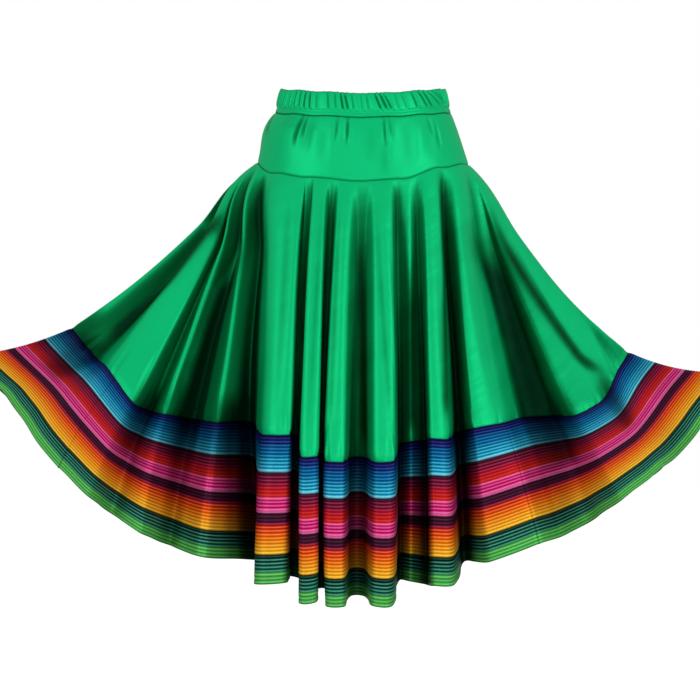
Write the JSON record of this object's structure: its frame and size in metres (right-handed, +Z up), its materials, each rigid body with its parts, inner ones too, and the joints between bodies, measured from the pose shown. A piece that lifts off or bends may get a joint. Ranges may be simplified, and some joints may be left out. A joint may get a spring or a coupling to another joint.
{
  "type": "flamenco skirt",
  "caption": "full-circle dance skirt with an elastic waistband, a hip yoke and a wide striped border, in its worn form with both sides held out",
  "frame": {"origin": "the middle of the waistband, where the wearer's waist holds the skirt up", "axes": "+X towards the wearer's left, -Y the front, +Z up"},
  "size_m": [1.105, 0.6288, 0.7383],
  "materials": {
    "green_satin": "bright green satin, smooth and glossy",
    "striped_satin": "satin with woven stripes along its length, from indigo at the seam through blue, black, red, pink, plum, orange and gold to dark and bright green at the hem"
  },
  "bodies": {
    "root": {"waistband": "green_satin", "yoke_front": "green_satin", "yoke_back": "green_satin", "skirt_front": "green_satin", "skirt_back": "green_satin", "border_front": "striped_satin", "border_right": "striped_satin", "border_left": "striped_satin"}
  },
  "joints": []
}
